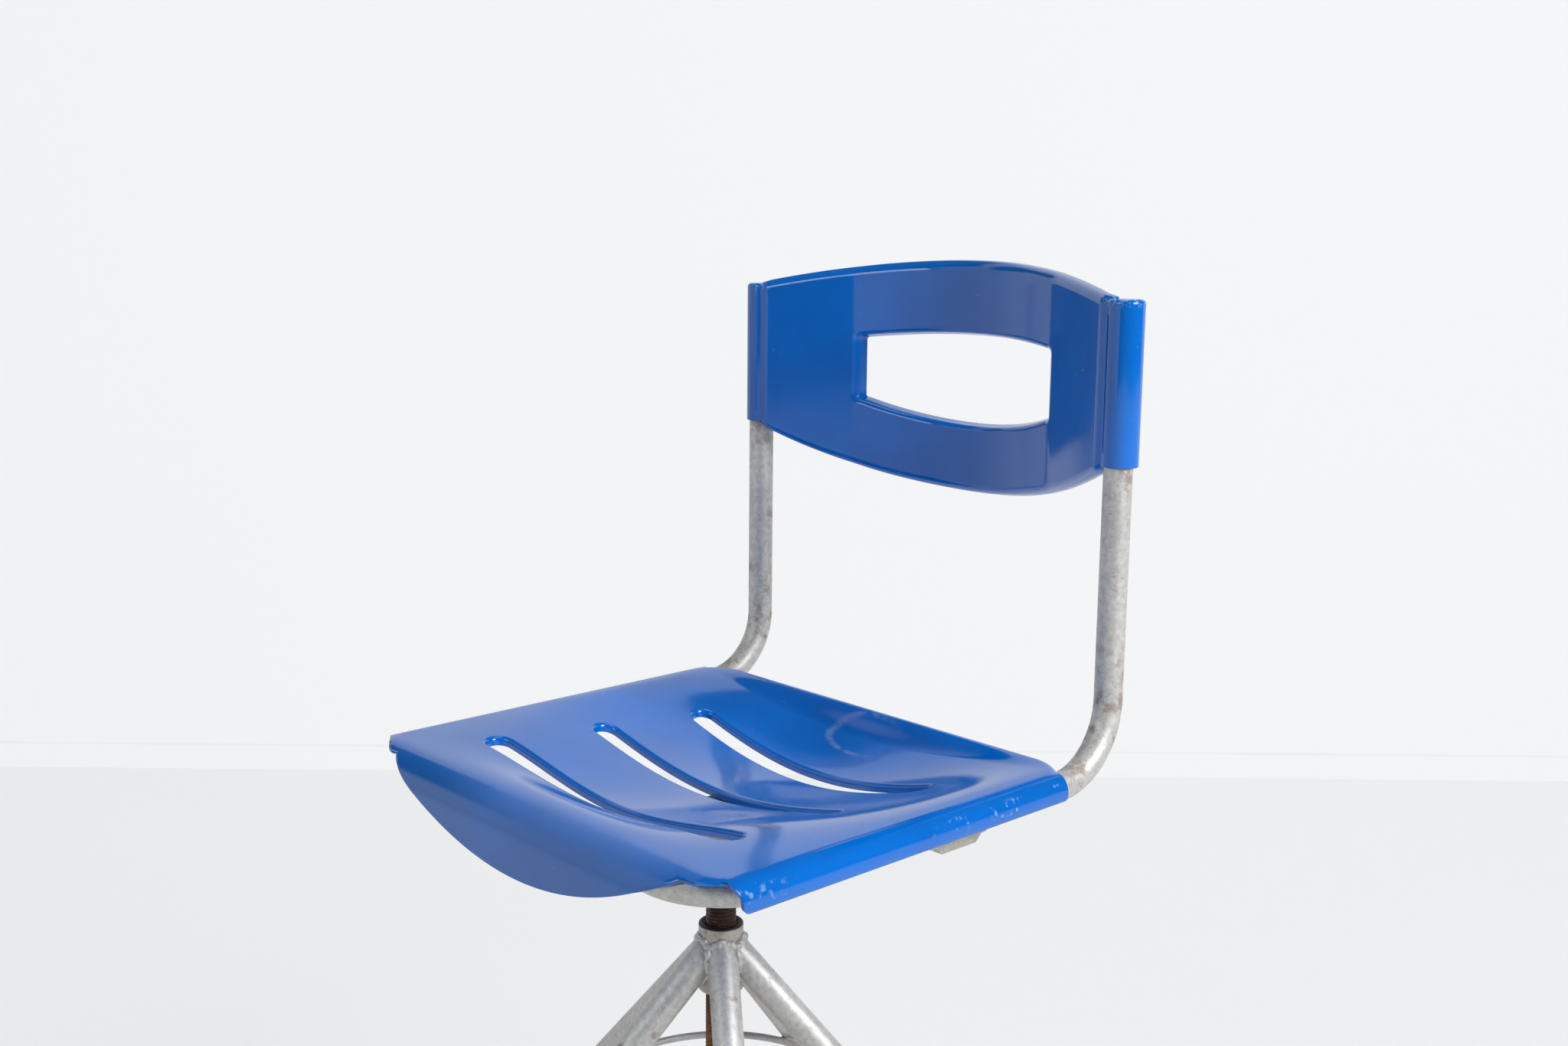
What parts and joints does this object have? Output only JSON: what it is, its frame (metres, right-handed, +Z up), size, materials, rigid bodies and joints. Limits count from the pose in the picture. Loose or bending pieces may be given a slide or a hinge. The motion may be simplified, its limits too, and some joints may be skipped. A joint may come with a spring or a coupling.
{
  "type": "industrial swivel stool",
  "caption": "Screw-adjusted swivel work stool with slotted moulded seat, open backrest, tube frame and sloping tube legs.",
  "frame": {"origin": "on the floor, at the middle of the whole outline seen from above; the swivel axis stands 29.8 mm towards +X and 1.8 mm towards +Y of it", "axes": "+Z up, -Y the way the sitter faces, +X towards the sitter's left"},
  "size_m": [0.6185, 0.6451, 0.8658],
  "materials": {
    "seat_plastic": "glossy moulded blue plastic, worn and lightly scratched",
    "frame_paint": "silver-grey paint on steel tube, speckled with rust",
    "hub_paint": "grey-beige paint on steel, rubbed and rusty at the rims",
    "weld_metal": "painted weld beads with rust in the corners",
    "spindle_steel": "bare screw thread, brown with old grease and rust",
    "nut_steel": "dull bare steel",
    "dark_steel": "dull grey painted pressed steel",
    "fastener_steel": "dull zinc-plated steel",
    "foot_rubber": "matt black rubber"
  },
  "bodies": {
    "base": {"hub_tube": "hub_paint", "spindle_nut": "nut_steel", "leg_1": "frame_paint", "leg_2": "frame_paint", "leg_3": "frame_paint", "leg_4": "frame_paint", "leg_5": "frame_paint", "foot_1": "foot_rubber", "foot_2": "foot_rubber", "foot_3": "foot_rubber", "foot_4": "foot_rubber", "foot_5": "foot_rubber", "brace_ring": "frame_paint", "ring_welds": "weld_metal"},
    "stop": {"stop_washer": "fastener_steel"},
    "seat": {"spindle": "spindle_steel", "stop_bolt": "fastener_steel", "spindle_boss": "dark_steel", "spindle_plate": "dark_steel", "cross_member": "dark_steel", "seat_frame": "frame_paint", "seat_shell": "seat_plastic", "seat_screws": "fastener_steel", "back_shell": "seat_plastic", "back_screws": "fastener_steel"}
  },
  "joints": [
    {"name": "seat_height", "type": "slide", "parent": "base", "child": "stop", "axis": [0, 0, 1], "range_m": [-0.0541, 0.1081]},
    {"name": "seat_turn", "type": "hinge", "parent": "stop", "child": "seat", "pos_m": [0.02977, 0.00178, 0.3], "axis": [0, 0, 1], "range_deg": [-6480, 12960]}
  ],
  "couplings": [
    {"joint": "seat_height", "follows": "seat_turn", "m_per_rad": 0.00047746}
  ]
}
